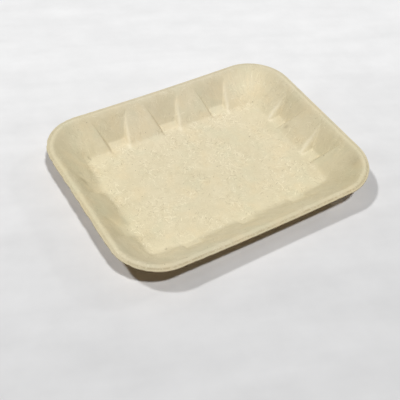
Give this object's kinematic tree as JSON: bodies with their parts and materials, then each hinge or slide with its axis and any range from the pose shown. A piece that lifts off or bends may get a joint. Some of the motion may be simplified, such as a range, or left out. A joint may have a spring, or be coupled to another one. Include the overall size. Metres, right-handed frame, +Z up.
{
  "type": "moulded fibre food tray",
  "caption": "Shallow rounded rectangular food tray moulded from plant fibre, with sloping ribbed side walls and a narrow crowned rim.",
  "frame": {"origin": "centre of the underside, on the surface that the tray stands on", "axes": "+Z up out of the open side, +X along the long side"},
  "size_m": [0.229, 0.175, 0.0245],
  "materials": {
    "fibre": "matt unbleached moulded plant fibre"
  },
  "bodies": {
    "root": {"tray": "fibre"}
  },
  "joints": []
}
